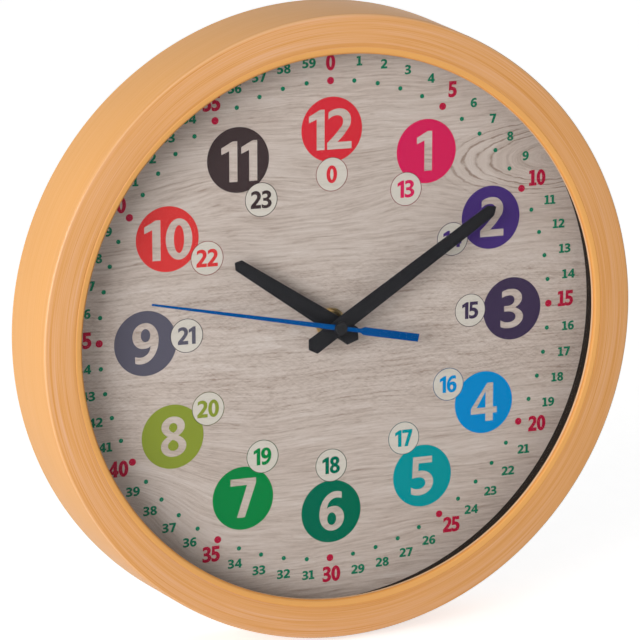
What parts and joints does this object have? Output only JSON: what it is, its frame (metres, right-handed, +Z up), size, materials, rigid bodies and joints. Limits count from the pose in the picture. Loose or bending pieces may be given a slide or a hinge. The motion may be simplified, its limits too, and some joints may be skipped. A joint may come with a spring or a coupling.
{
  "type": "wall clock for learning the time",
  "caption": "Round battery wall clock for learning the time: ring frame, glass, printed dial, hour, minute and second hands turned by a geared movement.",
  "frame": {"origin": "on the hands' axis, in the plane of the wall that the frame's rear rim rests on", "axes": "+X right and +Z up (towards twelve) seen from the front, the dial faces -Y, +Y goes into the wall"},
  "size_m": [0.305, 0.0406, 0.305],
  "materials": {
    "wood_look_plastic": "wood-look, fine grain",
    "clear_glass": "clear",
    "black_plastic": "satin black",
    "printed_dial": "printed, pale oak look",
    "red_print": "printed ink, one colour for each hour",
    "pale_print": "printed ink",
    "green_print": "printed ink",
    "crimson_print": "printed ink",
    "grey_plastic": "fine moulded grain",
    "steel": "zinc plated",
    "movement_plastic": "moulded black",
    "white_plastic": "moulded white",
    "rubber": "matt",
    "brass": "turned",
    "core_iron": "soft iron sheet",
    "copper_wire": "enamelled copper wire",
    "board": "green circuit board",
    "black_resin": "resin",
    "bright_metal": "nickel plated",
    "battery_sleeve": "bare sleeve, no print",
    "blue_paint": "blue paint on aluminium sheet",
    "gear_plastic": "moulded acetal",
    "magnet": "sintered magnet",
    "black_paint": "black paint on aluminium sheet",
    "knob_plastic": "moulded black"
  },
  "bodies": {
    "root": {"frame_ring": "wood_look_plastic", "glass_lens": "clear_glass", "spacer_ring": "black_plastic", "dial_plate": "printed_dial", "hour_discs": "red_print", "day_hour_discs": "pale_print", "minute_dots": "green_print", "five_minute_dots": "crimson_print", "back_cover": "grey_plastic", "cover_screws": "steel", "movement_front_case": "movement_plastic", "movement_rear_case": "movement_plastic", "gear_plate": "white_plastic", "rubber_washer": "rubber", "nut_washer": "brass", "bush_nut": "brass", "stator_plate": "core_iron", "coil_core": "core_iron", "coil_bobbin": "white_plastic", "coil_winding": "copper_wire", "circuit_board": "board", "clock_chip": "black_resin", "quartz_crystal": "bright_metal", "battery": "battery_sleeve", "negative_contact": "bright_metal", "positive_contact": "bright_metal"},
    "second": {"second_hand": "blue_paint", "second_hand_cap": "black_plastic", "seconds_wheel": "gear_plastic"},
    "rotor": {"rotor_magnet": "magnet", "rotor_pinion": "gear_plastic"},
    "fifth": {"fifth_wheel": "gear_plastic"},
    "third": {"third_wheel": "gear_plastic"},
    "centre": {"centre_wheel": "gear_plastic"},
    "minute": {"minute_hand": "black_paint", "minute_cannon": "gear_plastic", "clutch_spring": "bright_metal"},
    "motion": {"motion_wheel": "gear_plastic"},
    "hour": {"hour_hand": "black_paint", "hour_wheel": "gear_plastic"},
    "knob": {"setting_knob": "knob_plastic"}
  },
  "joints": [
    {"name": "second_turn", "type": "hinge", "parent": "root", "child": "second", "pos_m": [0, 0, 0], "axis": [0, 1, 0], "continuous": true},
    {"name": "rotor_turn", "type": "hinge", "parent": "root", "child": "rotor", "pos_m": [-0.00521, 0, 0.01138], "axis": [0, 1, 0], "continuous": true},
    {"name": "fifth_turn", "type": "hinge", "parent": "root", "child": "fifth", "pos_m": [0, 0, 0.00701], "axis": [0, 1, 0], "continuous": true},
    {"name": "third_turn", "type": "hinge", "parent": "root", "child": "third", "pos_m": [-0.00589, 0, 0.0034], "axis": [0, 1, 0], "continuous": true},
    {"name": "centre_turn", "type": "hinge", "parent": "root", "child": "centre", "pos_m": [0, 0, 0], "axis": [0, 1, 0], "continuous": true},
    {"name": "minute_turn", "type": "hinge", "parent": "root", "child": "minute", "pos_m": [0, 0, 0], "axis": [0, 1, 0], "continuous": true},
    {"name": "motion_turn", "type": "hinge", "parent": "root", "child": "motion", "pos_m": [0.00624, 0, 0.0036], "axis": [0, 1, 0], "continuous": true},
    {"name": "hour_turn", "type": "hinge", "parent": "root", "child": "hour", "pos_m": [0, 0, 0], "axis": [0, 1, 0], "continuous": true},
    {"name": "knob_turn", "type": "hinge", "parent": "root", "child": "knob", "pos_m": [0.01133, 0, 0.00869], "axis": [0, 1, 0], "continuous": true}
  ],
  "couplings": [
    {"joint": "rotor_turn", "follows": "second_turn", "ratio": 30},
    {"joint": "fifth_turn", "follows": "second_turn", "ratio": -4},
    {"joint": "third_turn", "follows": "second_turn", "ratio": -0.13333},
    {"joint": "centre_turn", "follows": "second_turn", "ratio": 0.016667},
    {"joint": "motion_turn", "follows": "minute_turn", "ratio": -0.33333},
    {"joint": "hour_turn", "follows": "minute_turn", "ratio": 0.083333},
    {"joint": "knob_turn", "follows": "minute_turn", "ratio": 1}
  ]
}
